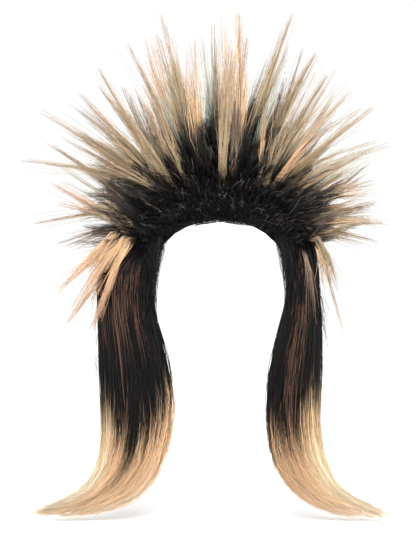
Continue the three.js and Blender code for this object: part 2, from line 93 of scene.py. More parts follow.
SPIKE_COLUMNS = ("root", "tilt", "lean", "reach", "ahead", "width", "dark", "tone")
FRONT_FAN = table(SPIKE_COLUMNS, [
    (-36, 20, -78, 1.08, 0.65, 1, 0.08, "khaki"),
    (-34, 28, -63, 1.06, 0.85, 0.9, 0.06, "khaki"),
    (-32, 22, -53, 0.95, 0.5, 0.65, 0.1, "khaki"),
    (-29, 30, -43, 0.95, 0.9, 0.85, 0.1, "khaki"),
    (-25, 24, -36, 0.76, 0.6, 0.7, 0.18, "taupe"),
    (-22, 30, -31, 0.97, 0.8, 1, 0.14, "khaki"),
    (-16, 26, -24, 0.99, 0.5, 0.8, 0.36, "peach"),
    (-11, 28, -18, 1.04, 0.75, 1.15, 0.42, "khaki"),
    (-6, 34, -9, 0.87, 0.95, 0.85, 0.48, "peach"),
    (-1, 28, -3, 0.94, 0.6, 0.7, 0.48, "taupe"),
    (4, 34, 5, 1, 0.85, 1.05, 0.42, "peach"),
    (10, 28, 21, 1.06, 0.7, 1.1, 0.44, "khaki"),
    (14, 32, 24, 0.78, 0.9, 0.9, 0.46, "mint"),
    (19, 26, 33, 0.94, 0.6, 0.85, 0.38, "khaki"),
    (24, 32, 41, 0.92, 0.85, 0.75, 0.34, "khaki"),
    (29, 24, 50, 0.92, 0.65, 0.95, 0.24, "cream"),
    (32, 30, 58, 0.95, 0.85, 0.7, 0.2, "khaki"),
    (36, 22, 72, 0.96, 0.6, 0.6, 0.2, "cream"),
])
CROWN_FAN = table(SPIKE_COLUMNS, [
    (-38, 2, -68, 0.92, 0.1, 0.65, 0.2, "khaki"),
    (-34, 8, -57, 0.98, -0.2, 0.7, 0.24, "taupe"),
    (-29, -4, -46, 0.9, 0.2, 0.75, 0.3, "khaki"),
    (-24, 8, -38, 0.74, -0.35, 0.8, 0.34, "cream"),
    (-19, -6, -28, 0.86, 0.1, 0.75, 0.38, "peach"),
    (-14, 8, -21, 0.96, -0.3, 0.9, 0.4, "khaki"),
    (-9, -4, -14, 0.76, 0.25, 0.85, 0.44, "peach"),
    (-4, 4, -6, 0.92, -0.4, 0.8, 0.44, "mint"),
    (1, -4, 1, 1.02, 0.05, 0.85, 0.46, "peach"),
    (6, 8, 9, 0.9, -0.3, 0.9, 0.54, "taupe"),
    (11, -4, 15, 0.7, 0.3, 0.9, 0.58, "mint"),
    (16, 8, 25, 0.86, -0.25, 1, 0.52, "mint"),
    (21, -4, 29, 0.94, 0.15, 0.8, 0.44, "taupe"),
    (26, 6, 40, 0.9, -0.35, 0.85, 0.38, "khaki"),
    (31, -4, 47, 0.84, 0.1, 0.8, 0.3, "khaki"),
    (37, 4, 64, 0.66, -0.1, 0.65, 0.26, "cream"),
])
# Thin pale locks that lie over the dark roots at the front
FRONT_STREAKS = table(SPIKE_COLUMNS, [
    (1, 42, 4, 0.86, 0.98, 0.62, 0.01, "khaki"),
    (6, 38, 8, 0.66, 0.95, 0.3, 0.1, "taupe"),
    (27, 36, 52, 0.76, 0.95, 0.28, 0.04, "peach"),
    (23, 38, 31, 0.6, 0.95, 0.14, 0.1, "khaki"),
    (24, 38, 38, 0.62, 0.95, 0.2, 0.06, "khaki"),
    (19, 40, 22, 0.62, 0.95, 0.14, 0.14, "peach"),
    (-30, 34, -70, 0.66, 0.95, 0.3, 0.03, "khaki"),
    (-24, 36, -47, 0.66, 0.95, 0.3, 0.03, "khaki"),
    (-18, 36, -33, 0.66, 0.95, 0.18, 0.16, "khaki"),
    (33, 34, 66, 0.72, 0.9, 0.3, 0.06, "khaki"),
])
RIGHT_EAR = table(SPIKE_COLUMNS, [
    (-42, 42, -84, 0.66, 0.75, 1, 0.4, "dark"),
    (-44, 20, -88, 0.74, 0.3, 0.9, 0.4, "dark"),
    (-46, 36, -80, 0.66, 0.65, 1.1, 0.45, "dark"),
    (-49, 48, -85, 0.58, 0.9, 1.1, 0.62, "dark"),
    (-53, 46, -92, 0.7, 0.8, 1.2, 0.62, "dark"),
    (-57, 52, -97, 0.6, 0.95, 1, 0.62, "dark"),
    (-58, 38, -104, 0.72, 0.65, 1.1, 0.6, "dark"),
    (-62, 50, -108, 0.66, 0.9, 1.1, 0.62, "dark"),
    (-66, 44, -114, 0.66, 0.8, 1, 0.62, "dark"),
    (-50, 40, -90, 0.88, 0.7, 0.7, 0.35, "khaki"),
    (-54, 30, -97, 1, 0.55, 0.75, 0.42, "khaki"),
    (-60, 44, -100, 0.74, 0.75, 0.95, 0.5, "dark"),
    (-61, 24, -105, 0.9, 0.35, 0.55, 0.4, "taupe"),
    (-67, 34, -111, 0.68, 0.5, 0.8, 0.5, "dark"),
    (-69, 42, -119, 0.98, 0.85, 0.8, 0.3, "peach"),
    (-73, 50, -128, 1.03, 0.98, 0.85, 0.25, "peach"),
    (-77, 58, -135, 0.96, 1.06, 0.6, 0.2, "peach"),
])
LEFT_EAR = table(SPIKE_COLUMNS, [
    (42, 42, 80, 0.66, 0.75, 1, 0.45, "dark"),
    (44, 26, 84, 0.84, 0.45, 0.9, 0.45, "khaki"),
    (50, 40, 90, 0.83, 0.7, 0.9, 0.45, "taupe"),
    (56, 30, 97, 0.92, 0.5, 0.75, 0.4, "cream"),
    (58, 44, 96, 0.62, 0.75, 0.95, 0.6, "dark"),
    (62, 26, 105, 0.88, 0.35, 0.55, 0.4, "khaki"),
    (64, 42, 107, 0.66, 0.7, 0.85, 0.5, "dark"),
    (74, 46, 143, 0.74, 0.9, 0.55, 0.35, "dark"),
])

HANGING_COLUMNS = ("x", "y", "z", "tip_x", "tip_y", "tip_z", "width", "tone")
RIGHT_HANGING = table(HANGING_COLUMNS, [
    (-0.089, -0.062, -0.064, -0.138, -0.080, -0.162, 0.42, "peach"),
    (-0.101, -0.058, -0.064, -0.168, -0.078, -0.158, 0.42, "peach"),
    (-0.106, -0.060, -0.056, -0.174, -0.078, -0.124, 0.34, "peach"),
    (-0.095, -0.062, -0.062, -0.146, -0.082, -0.126, 0.26, "peach"),
])
LEFT_HANGING = table(HANGING_COLUMNS, [
    (0.096, -0.050, -0.060, 0.134, -0.066, -0.170, 0.42, "khaki"),
    (0.084, -0.056, -0.074, 0.100, -0.066, -0.164, 0.14, "taupe"),
    (0.100, -0.050, -0.070, 0.112, -0.062, -0.128, 0.12, "peach"),
])

LOCK_COLUMNS = ("drop", "out", "wide", "ahead", "deep", "turn")
RIGHT_LOCK = table(LOCK_COLUMNS, [
    (0.15, 0.35, 0.57, 1, 0.8, 0),
    (0.215, 0.4, 0.5, 1.2, 0.95, 0),
    (0.265, 0.455, 0.78, 1.3, 1.05, 0),
    (0.334, 0.472, 0.79, 1.4, 1.08, 0),
    (0.41, 0.467, 0.79, 1.5, 1.05, -3),
    (0.516, 0.437, 0.93, 1.6, 1, -4),
    (0.625, 0.416, 1.02, 1.65, 0.95, -2),
    (0.72, 0.414, 1, 1.65, 0.85, 4),
    (0.81, 0.44, 0.92, 1.62, 0.74, 17),
    (0.885, 0.5, 0.8, 1.6, 0.6, 34),
    (0.94, 0.61, 0.58, 1.6, 0.46, 52),
    (0.975, 0.77, 0.33, 1.6, 0.3, 67),
    (0.99, 0.985, 0.03, 1.6, 0.05, 78),
])
LEFT_LOCK = table(LOCK_COLUMNS, [
    (0.15, 0.35, 0.57, 1, 0.8, 0),
    (0.215, 0.39, 0.48, 1.2, 0.95, 0),
    (0.265, 0.405, 0.47, 1.3, 1.02, 0),
    (0.334, 0.41, 0.46, 1.4, 1.04, 0),
    (0.4, 0.41, 0.53, 1.5, 1, -3),
    (0.49, 0.39, 0.66, 1.6, 0.96, -6),
    (0.585, 0.372, 0.75, 1.65, 0.92, -3),
    (0.66, 0.365, 0.76, 1.65, 0.85, 0),
    (0.73, 0.366, 0.77, 1.62, 0.76, 6),
    (0.805, 0.385, 0.75, 1.6, 0.68, 18),
    (0.875, 0.442, 0.68, 1.6, 0.57, 34),
    (0.935, 0.54, 0.53, 1.6, 0.44, 52),
    (0.975, 0.67, 0.33, 1.6, 0.28, 66),
    (0.995, 0.872, 0.03, 1.6, 0.05, 78),
])


def unit(v):
    return v / np.maximum(np.linalg.norm(v, axis=-1, keepdims=True), 1e-12)


def smooth(x, low, high):
    t = np.clip((x - low) / (high - low), 0, 1)
    return t * t * (3 - 2 * t)


# Places on the head

def head_half(way_z):
    half = np.empty(np.shape(way_z) + (3,))
    half[..., 0] = HEAD_HALF_BREADTH
    half[..., 1] = HEAD_HALF_LENGTH
    half[..., 2] = np.where(way_z > 0, HEAD_RISE, HEAD_FALL)
    return half


def fall_at(drop):
    up = HEAD_RISE - drop
    return np.arccos(np.clip(up / np.where(up > 0, HEAD_RISE, HEAD_FALL), -1, 1))


def on_head(turn, fall, out):
    """Places on the head at a turn from the face and an angle down from the crown, and the way out there."""
    way = np.stack([np.sin(fall) * np.sin(turn), -np.sin(fall) * np.cos(turn), np.cos(fall)], -1)
    half = head_half(way[..., 2])
    outwards = unit(way / half)
    return way * half + HEAD_MIDDLE + outwards * np.asarray(out)[..., None], outwards


def hair_fall(turn):
    return fall_at(np.interp(np.abs(np.degrees(turn)), *HAIR_RIM))


def hair_depth(share):
    return HAIR_DEPTH + (HAIRLINE_DEPTH - HAIR_DEPTH) * share**3


def scalp(lean, tilt):
    """The root of a spike and the way out of the head there, by angles seen from the middle of the head."""
    lean, tilt = math.radians(lean), math.radians(tilt)
    way = np.array([
        math.sin(lean),
        -math.cos(lean) * math.sin(tilt),
        math.cos(lean) * math.cos(tilt),
    ])
    half = head_half(way[2])
    size = 1 / np.linalg.norm(way / half)
    outwards = unit(way / half)
    turn = math.atan2(way[0], -way[1])
    share = math.acos(np.clip(size * way[2] / half[2], -1, 1)) / hair_fall(turn)
    depth = CAP_OUT + ROOT_DEPTH * hair_depth(min(1.0, float(share)))
    return way * size + HEAD_MIDDLE + outwards * depth, outwards


def fan_tip(lean, reach, ahead):
    lean = math.radians(lean)
    return FAN_MIDDLE + np.array([
        reach * SPIKE_REACH * math.sin(lean),
        -ahead * FAN_DEPTH,
        reach * SPIKE_REACH * math.cos(lean),
    ])


# Strands: each is a closed tube with three sides, many to a mesh

def tube_mesh(name, paths, radii, tones, shades):
    """One mesh of many strands. paths is strands x rings x 3, and shades the colour's place along each strand."""
    strands, rings = paths.shape[:2]
    tangents = unit(np.gradient(paths, axis=1))
    first = unit(RANDOM.normal(size=(strands, 1, 3)))
    first = unit(first - (first * tangents).sum(-1, keepdims=True) * tangents)
    second = np.cross(tangents, first)
    angles = np.arange(3) * 2 * math.pi / 3
    across = (np.cos(angles)[:, None] * first[:, :, None] + np.sin(angles)[:, None] * second[:, :, None])
    points = paths[:, :, None] + radii[:, :, None, None] * across
    at = np.arange(strands * rings * 3).reshape(strands, rings, 3)
    after = np.roll(at, -1, axis=2)
    sides = np.stack([at[:, :-1], after[:, :-1], after[:, 1:], at[:, 1:]], -1).reshape(strands, -1)
    ends = np.concatenate([at[:, 0, ::-1], at[:, -1]], -1)
    corners = np.concatenate([sides, ends], -1)

    low = (tones + 0.1) / TONE_COLUMNS
    high = (tones + 0.9) / TONE_COLUMNS
    near, far = shades[:, :-1, None], shades[:, 1:, None]
    side_v = np.stack([near, near, far, far], -1).repeat(3, axis=2).reshape(strands, -1)
    side_u = np.tile(np.stack([low, high, high, low], -1), (1, 3 * (rings - 1)))
    end_u = np.tile(np.stack([low, high, (low + high) / 2], -1), (1, 2))
    root_v, tip_v = shades[:, :1], shades[:, -1:]
    end_v = np.concatenate([root_v, root_v, root_v + 0.02, tip_v, tip_v, tip_v - 0.02], -1)
    uv = np.stack([np.concatenate([side_u, end_u], -1), np.concatenate([side_v, end_v], -1)], -1)

    faces_each = 3 * (rings - 1) + 2
    sizes = np.tile(np.r_[np.full(3 * (rings - 1), 4), 3, 3], strands)
    mesh = bpy.data.meshes.new(name)
    mesh.vertices.add(points.size // 3)
    mesh.vertices.foreach_set("co", points.astype(np.float32).ravel())
    mesh.loops.add(corners.size)
    mesh.loops.foreach_set("vertex_index", corners.astype(np.int32).ravel())
    mesh.polygons.add(strands * faces_each)
    mesh.polygons.foreach_set("loop_start", (np.cumsum(sizes) - sizes).astype(np.int32))
    mesh.polygons.foreach_set("use_smooth", np.ones(strands * faces_each, bool))
    mesh.update(calc_edges=True)
    layer = mesh.uv_layers.new(name="OFBake")
    layer.data.foreach_set("uv", uv.astype(np.float32).ravel())
    return mesh


def tone_columns(family):
    """A tone column for each strand, somewhere in its family's columns."""
    starts = np.array(TONE_STARTS)
    return np.floor(starts[family] + RANDOM.random(len(family)) * (starts[family + 1] - starts[family]))


def mixed_families(own, count, pure):
    """Families of tones: most are of their own, and the rest of any."""
    others = RANDOM.choice([0, 0, 1, 2, 3, 4, 4, 5], count)
    return np.where(RANDOM.random(count) < pure, own, others)


def colour_places(along, dark):
    """Where each ring of a strand is on the way from root colour (0) to tip colour (1)."""
    dark = np.broadcast_to(dark, along.shape[:1])[:, None]
    before = 0.2 * along / np.maximum(dark, 1e-3)
    after = 0.2 + 0.8 * (along - dark) / (1 - dark)
    return np.clip(np.where(along < dark, before, after), 0.01, 0.99)


def strand_radii(along, size=1.0):
    taper = 1 - (1 - TIP_SHARE) * smooth(along, 0.45, 1)
    return STRAND_RADIUS * taper * size


class Hair:
    """Strands gathered for one piece. keep tells which strands stay."""

    def __init__(self, seed, rings, keep=None):
        global RANDOM
        RANDOM = np.random.default_rng(seed)
        self.rings = rings
        self.keep = keep
        self.parts = []

    def add(self, paths, radii, tones, shades):
        kept = self.keep(paths) if self.keep else np.ones(len(paths), bool)
        self.parts.append((paths[kept], radii[kept], tones[kept], shades[kept]))

    def piece(self, name, material, replaced=()):
        joined = [np.concatenate(column) for column in zip(*self.parts)]
        mesh = tube_mesh(name, *joined)
        mesh.materials.append(material)
        obj = bpy.data.objects.new(name, mesh)
        bpy.context.scene.collection.objects.link(obj)
        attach(obj, "root")
        if replaced:
            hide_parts(*replaced)
        triangles = len(joined[0]) * (6 * self.rings - 4)
        print(name, len(joined[0]), "strands", triangles, "triangles")
        return obj


def frizz(along, count, size, waves=(1, 3)):
    """Small bends of a strand, which grow from its root."""
    bend = np.zeros((count, along.shape[-1], 3))
    for _ in range(2):
        way = unit(RANDOM.normal(size=(count, 1, 3)))
        turns = RANDOM.uniform(*waves, size=(count, 1))
        phase = RANDOM.uniform(0, 2 * math.pi, size=(count, 1))
        wave = np.sin(2 * math.pi * turns * along + phase) - np.sin(phase)
        bend += way * wave[..., None]
    return bend * size * smooth(along, 0, 0.3)[..., None]


def spike_strands(hair, root, outwards, tip, width, depth, count, dark, tone, across=(0, 1, 0), root_size=0.85,
                  pure=0.6, fullest=0.2, lift=SPIKE_LIFT):
    """The strands of one spike: they leave its root side by side, and end in a few frayed wisps."""
    length = np.linalg.norm(tip - root)
    bend = root + outwards * lift * length + RANDOM.normal(0, 0.03, 3) * length
    wisps = int(RANDOM.integers(5, 9))
    wisp = np.minimum(RANDOM.integers(0, wisps, count), RANDOM.integers(0, wisps, count))
    wisp_reach = RANDOM.uniform(0.58, 0.97, wisps)
    wisp_reach[0] = 1.0
    ends = wisp_reach[wisp] * (1 - 0.42 * RANDOM.random(count) ** 2)
    steps = np.linspace(0, 1, hair.rings)
    along = ends[:, None] * steps
    t = along[..., None]
    line = (1 - t) ** 2 * root + 2 * t * (1 - t) * bend + t**2 * tip
    tangent = unit(2 * (1 - t) * (bend - root) + 2 * t * (tip - bend))
    side = unit(np.cross(np.array(across, float), tangent))
    front = np.cross(tangent, side)
    angle = RANDOM.uniform(0, 2 * math.pi, count)
    distance = np.sqrt(RANDOM.random(count))
    start = np.stack([distance * np.cos(angle), distance * np.sin(angle)], -1)
    wisp_angle = RANDOM.uniform(0, 2 * math.pi, wisps)
    wisp_out = np.sqrt(RANDOM.uniform(0.05, 0.9, wisps))
    wisp_out[0] *= 0.3
    middle = np.stack([wisp_out * np.cos(wisp_angle), wisp_out * np.sin(wisp_angle)], -1)[wisp]
    end = middle + 0.22 * RANDOM.normal(size=(count, 2))
    swell = np.where(
        along < fullest,
        root_size + (1 - root_size) * along / fullest,
        np.clip((1 - along) / (1 - fullest), 0, 1)) ** 1.2
    gather = smooth(along, 0.05, 0.6)[..., None]
    place = (1 - gather) * start[:, None] + gather * end[:, None]
    loose = np.where(RANDOM.random(count) < 0.28, 5.0, 1.0)[:, None, None]
    stray = 0.0012 * loose * smooth(along, 0.3, 1)[..., None] * RANDOM.normal(size=(count, 1, 2))
    spread = min(1.0, width / SPIKE_WIDTH)
    apart = 0.0100 * spread**0.5 * smooth(along, 0.3, 1)[..., None] * middle[:, None]
    bulge = (RANDOM.normal(0, 0.0028 * spread, (wisps, 2))[wisp])[:, None] * np.sin(math.pi * along)[..., None]
    shift = stray + apart + bulge
    offset_side = place[..., :1] * (width * swell + 0.0004)[..., None] + shift[..., :1]
    offset_front = place[..., 1:] * (depth * swell + 0.0004)[..., None] + shift[..., 1:]
    paths = line + side * offset_side + front * offset_front + frizz(along, count, 0.0010)
    darkness = np.clip(dark + RANDOM.normal(0, 0.07, count), 0.01, 0.9)
    wisp_family = mixed_families(TONES.index(tone), wisps, pure)
    wisp_family[0] = TONES.index(tone)
    family = mixed_families(wisp_family[wisp], count, 0.5 + 0.5 * pure)
    hair.add(paths, strand_radii(steps)[None].repeat(count, 0), tone_columns(family),
             colour_places(along, darkness))


def spikes(hair, rows, count, root_size=0.85, pure=0.6, fullest=0.2):
    for row in rows:
        root, outwards = scalp(row["root"], row["tilt"])
        tip = fan_tip(row["lean"], row["reach"], row["ahead"])
        strands = max(30, int(count * row["width"]))
        width, depth = row["width"] * SPIKE_WIDTH, row["width"] * SPIKE_DEPTH
        spike_strands(hair, root, outwards, tip, width, depth, strands, row["dark"], row["tone"],
                      root_size=root_size, pure=pure, fullest=fullest)


def wisps_between(hair, number, leans, tilts, ahead, reach, strands, dark, tones=(0, 0, 1, 2, 3, 4)):
    """Thin wisps of uneven length, spread over a part of the fan between its main spikes."""
    for i in range(number):
        lean = leans[0] + (leans[1] - leans[0]) * (i + RANDOM.uniform(0.1, 0.9)) / number
        root, outwards = scalp(0.62 * lean * RANDOM.uniform(0.8, 1.1), RANDOM.uniform(*tilts))
        tip = fan_tip(lean, RANDOM.uniform(*reach), RANDOM.uniform(*ahead))
        wide = RANDOM.uniform(0.2, 0.45)
        tone = TONES[RANDOM.choice(tones)]
        own_dark = np.interp(abs(lean), *dark) * RANDOM.uniform(0.75, 1.15)
        spike_strands(hair, root, outwards, tip, wide * SPIKE_WIDTH, wide * SPIKE_DEPTH, strands, own_dark, tone)


def hanging_spikes(hair, rows):
    """Pale spikes that hang over the front of a long lock."""
    for row in rows:
        root = np.array([row["x"], row["y"], row["z"]])
        tip = np.array([row["tip_x"], row["tip_y"], row["tip_z"]])
        outwards = unit(np.array([row["x"], -0.03, 0.0]))
        wide = row["width"]
        spike_strands(hair, root, outwards, tip, wide * SPIKE_WIDTH, wide * SPIKE_DEPTH, int(230 * wide),
                      0.12, row["tone"], root_size=0.15, pure=0.95, fullest=0.4, lift=0.12)


def back_spikes(hair, count):
    reach_at_back = 0.118
    uneven = 0.12
    rings = ((-30, 8, 52, 1.2), (-50, 8, 62, 1.02), (-70, 7, 62, 0.84))
    for r, (tilt, number, spread, reach) in enumerate(rings):
        for i in range(number):
            lean = -spread + 2 * spread * (i + 0.5 * (r % 2)) / (number - 0.5)
            root, outwards = scalp(lean, tilt)
            longer = 1 + uneven * math.sin(5 * i + 2 * r)
            tip = root + outwards * reach * longer * reach_at_back
            tip[2] += uneven * reach_at_back * math.cos(3 * i + r)
            tone = ("khaki", "peach", "taupe", "cream")[(i + r) % 4]
            width, depth = 1.2 * SPIKE_WIDTH, 1.2 * SPIKE_DEPTH
            spike_strands(hair, root, outwards, tip, width, depth, count, 0.35, tone, (0, 0, 1))


def nape_spikes(hair, count):
    nape_reach = 0.058
    sag = 0.023
    uneven = 0.12
    nape_drop = 0.138
    rings = ((0.6, 7, 112, 1.1), (0.76, 8, 116, 0.9))
    for r, (drop, number, start, reach) in enumerate(rings):
        for i in range(number):
            turn = math.radians(start + (360 - 2 * start) * (i + 0.5) / number)
            fall = fall_at(drop * nape_drop)
            root, outwards = on_head(turn, fall, CAP_OUT + HAIRLINE_DEPTH / 2)
            tip = root + outwards * reach * nape_reach
            tip[2] -= sag * (1 + 2 * uneven * math.sin(4 * i + r))
            tip[2] = max(tip[2], NAPE_LOWEST)
            spike_strands(hair, root, outwards, tip, SPIKE_WIDTH, SPIKE_DEPTH, count, 0.6, "taupe", (0, 0, 1))


def clear_of_opening(paths):
    """Which strands stay above the cap's rim at the back, out of the face opening and not too far forward."""
    turn = np.degrees(np.arctan2(np.abs(paths[..., 0]), -paths[..., 1]))
    below_rim = (turn > 87) & (paths[..., 2] < -np.interp(turn, *CAP_RIM) + RIM_SPARE)
    open_to = np.interp(-paths[..., 2], *OPEN_TO) + np.where(paths[..., 0] > 0, 0.001, 0)
    hangs_low = (paths[..., 2] < -0.064) & (np.abs(paths[..., 0]) < open_to)
    in_opening = hangs_low & (turn < 95)
    too_far = paths[..., 1] < -HAIR_FURTHEST
    return ~(below_rim | in_opening | too_far).any(1)


def clear_of_edge(paths):
    """As above, and which strands stay above the cap's front edge."""
    turn = np.degrees(np.arctan2(np.abs(paths[..., 0]), -paths[..., 1]))
    spare = np.interp(turn, *EDGE_SPARE)
    below_edge = (turn < 75) & (paths[..., 2] < -np.interp(turn, *CAP_RIM) - spare)
    return clear_of_opening(paths) & ~below_edge.any(1)


def teased_hair(hair, count, turns, shares, length, upwards=0.0, tuft=0):
    """Short frizzy strands that stand out of the dark roots all over, loose or drawn together in tufts."""
    groups = max(1, count // tuft) if tuft else count
    group = RANDOM.integers(0, groups, count) if tuft else np.arange(count)
    turn = (np.radians(RANDOM.uniform(*turns, groups)) * RANDOM.choice([-1, 1], groups))[group]
    share = np.sqrt(RANDOM.uniform(shares[0] ** 2, shares[1] ** 2, groups))[group]
    way_off = RANDOM.normal(size=(groups, 3))[group]
    longer = RANDOM.uniform(0.5, 1.15, groups)[group]
    if tuft:
        turn = turn + RANDOM.normal(0, 0.05, count)
        share = np.clip(share + RANDOM.normal(0, 0.03, count), 0, 1)
        longer = longer * RANDOM.uniform(0.7, 1.0, count)
    depth = hair_depth(share) * RANDOM.uniform(0.45, 0.95, count)
    root, outwards = on_head(turn, share * hair_fall(turn), CAP_OUT + depth)
    from_fan = unit(root - FAN_MIDDLE)
    way = unit(0.7 * outwards + 0.6 * from_fan + 0.3 * way_off + [0, 0.15, upwards])
    steps = np.linspace(0, 1, hair.rings)
    along = np.tile(steps, (count, 1))
    lengths = np.interp(share, (0, 0.5, 0.85, 1), length) * longer
    paths = root[:, None] + way[:, None] * (lengths[:, None] * along)[..., None]
    if tuft:
        middle = np.zeros((groups, 3))
        np.add.at(middle, group, paths[:, -1])
        middle /= np.maximum(np.bincount(group, minlength=groups), 1)[:, None]
        pull = 0.8 * smooth(along, 0, 1)[..., None]
        paths += (middle[group] - paths[:, -1])[:, None] * pull
    paths += frizz(along, count, 0.0012 if tuft else 0.0030, (0.6, 2.0))
    # A share of lighter taupe strands: painted highlight, glints in the black hair
    light = RANDOM.random(count) < 0.14
    tones = tone_columns(np.where(light, TONES.index("taupe"), TONES.index("dark")))
    brightest = np.where(light, 0.9, 0.4)[:, None] * RANDOM.random((count, 1))
    shades = np.clip(0.05 + brightest * along, 0.01, 0.9)
    hair.add(paths, strand_radii(steps, 0.85)[None].repeat(count, 0), tones, shades)


def temple_hair(hair, hand, count):
    """Dark hair that falls over the side of the cap into the top of a long lock."""
    turn = hand * np.radians(RANDOM.uniform(42, 102, count))
    start = RANDOM.uniform(0.046, 0.082, count)
    steps = np.linspace(0, 1, hair.rings)
    drop = start[:, None] + steps * RANDOM.uniform(0.03, 0.075, (count, 1))
    turns = turn[:, None] + hand * 0.1 * steps * RANDOM.normal(0.6, 1, (count, 1))
    out = CAP_OUT + RANDOM.uniform(0.001, 0.014, count)[:, None] * (1 - 0.3 * steps)
    paths, outwards = on_head(turns, fall_at(drop), out)
    along = np.tile(steps, (count, 1))
    paths += frizz(along, count, 0.0014, (0.6, 2.0))
    # A share of lighter taupe strands: painted highlight, glints in the black hair
    light = RANDOM.random(count) < 0.08
    tones = tone_columns(np.where(light, TONES.index("taupe"), TONES.index("dark")))
    shades = np.clip(0.05 + 0.25 * along * RANDOM.random((count, 1)), 0.01, 0.4)
    hair.add(paths, strand_radii(steps, 0.95)[None].repeat(count, 0), tones, shades)


def edge_hair(hair, count, length, upwards, places=(0, 1)):
    """Short frizzy hair between the teased hair and the cap's edge, and over its band."""
    turn = np.radians(74 * RANDOM.random(count) ** 0.75) * RANDOM.choice([-1, 1], count)
    degrees = np.abs(np.degrees(turn))
    place = RANDOM.uniform(*places, count)
    low = np.interp(degrees, *CAP_RIM) + 0.7 * np.interp(degrees, *EDGE_SPARE)
    drop = np.interp(degrees, *HAIR_RIM) * (1 - place) + low * place - 0.002
    root, outwards = on_head(turn, fall_at(drop), RANDOM.uniform(0.001, 0.005, count))
    way = unit(outwards + 0.6 * RANDOM.normal(size=(count, 3)) + [0, 0, upwards])
    steps = np.linspace(0, 1, hair.rings)
    along = np.tile(steps, (count, 1))
    paths = root[:, None] + way[:, None] * (RANDOM.uniform(*length, count)[:, None] * along)[..., None]
    paths += frizz(along, count, 0.0024, (0.8, 2.2))
    # A share of lighter taupe strands: painted highlight, glints in the black hair
    light = RANDOM.random(count) < 0.1
    tones = tone_columns(np.where(light, TONES.index("taupe"), TONES.index("dark")))
    shades = np.clip(0.05 + 0.5 * along * RANDOM.random((count, 1)), 0.01, 0.6)
    hair.add(paths, strand_radii(steps, 0.8)[None].repeat(count, 0), tones, shades)


def band_hair(hair, count):
    """Short curls that lie along the front edge of the cap and hide its band."""
    reach = 0.20
    turn = RANDOM.uniform(-1.45, 1.45, count)
    steps = np.linspace(-0.5, 0.5, hair.rings)
    turns = turn[:, None] + steps * reach * RANDOM.uniform(0.3, 1.0, (count, 1)) * RANDOM.choice([-1, 1], (count, 1))
    degrees = np.abs(np.degrees(turns))
    drop = np.interp(degrees, *CAP_RIM) + 0.6 * np.interp(degrees, *EDGE_SPARE) - 0.0035
    angle = RANDOM.uniform(0, 2 * math.pi, count)[:, None] + steps * RANDOM.uniform(-5, 5, (count, 1))
    away = RANDOM.uniform(0.0018, 0.0042, count)[:, None]
    paths, outwards = on_head(turns, fall_at(drop), 0.001 + away * np.cos(angle))
    paths[..., 2] += (away * np.sin(angle))
    paths += frizz(np.tile(steps + 0.5, (count, 1)), count, 0.0012, (0.7, 2.0))
    tones = np.floor(DARK_START + RANDOM.random(count) * (TONE_COLUMNS - DARK_START))
    shades = np.full((count, hair.rings), 0.05) + 0.15 * RANDOM.random((count, 1)) * (steps + 0.5)
    hair.add(paths, strand_radii(steps + 0.5, 0.9)[None].repeat(count, 0), tones, shades)


# The long locks

def rows_at(rows, t):
    """The columns of a lock's table at places from 0 to 1 along its rows, on a smooth curve through them."""
    values = {name: np.array([row[name] for row in rows], float) for name in LOCK_COLUMNS}
    x = t * (len(rows) - 1)
    i = np.clip(np.floor(x).astype(int), 0, len(rows) - 2)
    f = x - i
    found = {}
    for name, v in values.items():
        padded = np.r_[2 * v[0] - v[1], v, 2 * v[-1] - v[-2]]
        a, b, c, d = padded[i], padded[i + 1], padded[i + 2], padded[i + 3]
        found[name] = b + 0.5 * f * (c - a + f * (2 * a - 5 * b + 4 * c - d + f * (3 * (b - c) + d - a)))
    return found


def lock_frame(rows, hand, t):
    row = rows_at(rows, t)
    middle = np.stack([
        hand * row["out"] * LOCK_OUT,
        (1 - row["ahead"]) * LOCK_HALF_DEPTH - LOCK_AHEAD,
        -row["drop"] * LOCK_DROP,
    ], -1)
    turn = np.radians(row["turn"])
    side = np.stack([hand * np.cos(turn), np.zeros_like(turn), np.sin(turn)], -1)
    wide = np.maximum(row["wide"], 0.02) * LOCK_HALF_WIDTH
    deep = np.maximum(row["deep"], 0.04) * LOCK_HALF_DEPTH
    return middle, side, wide, deep


def outside_head(paths, gap):
    """Moves what lies inside the head straight out to the outside of the cap."""
    away = paths - HEAD_MIDDLE
    half = head_half(away[..., 2]) + gap
    inside = np.linalg.norm(away / half, axis=-1, keepdims=True)
    return np.where(inside < 1, HEAD_MIDDLE + away / np.maximum(inside, 1e-6), paths)


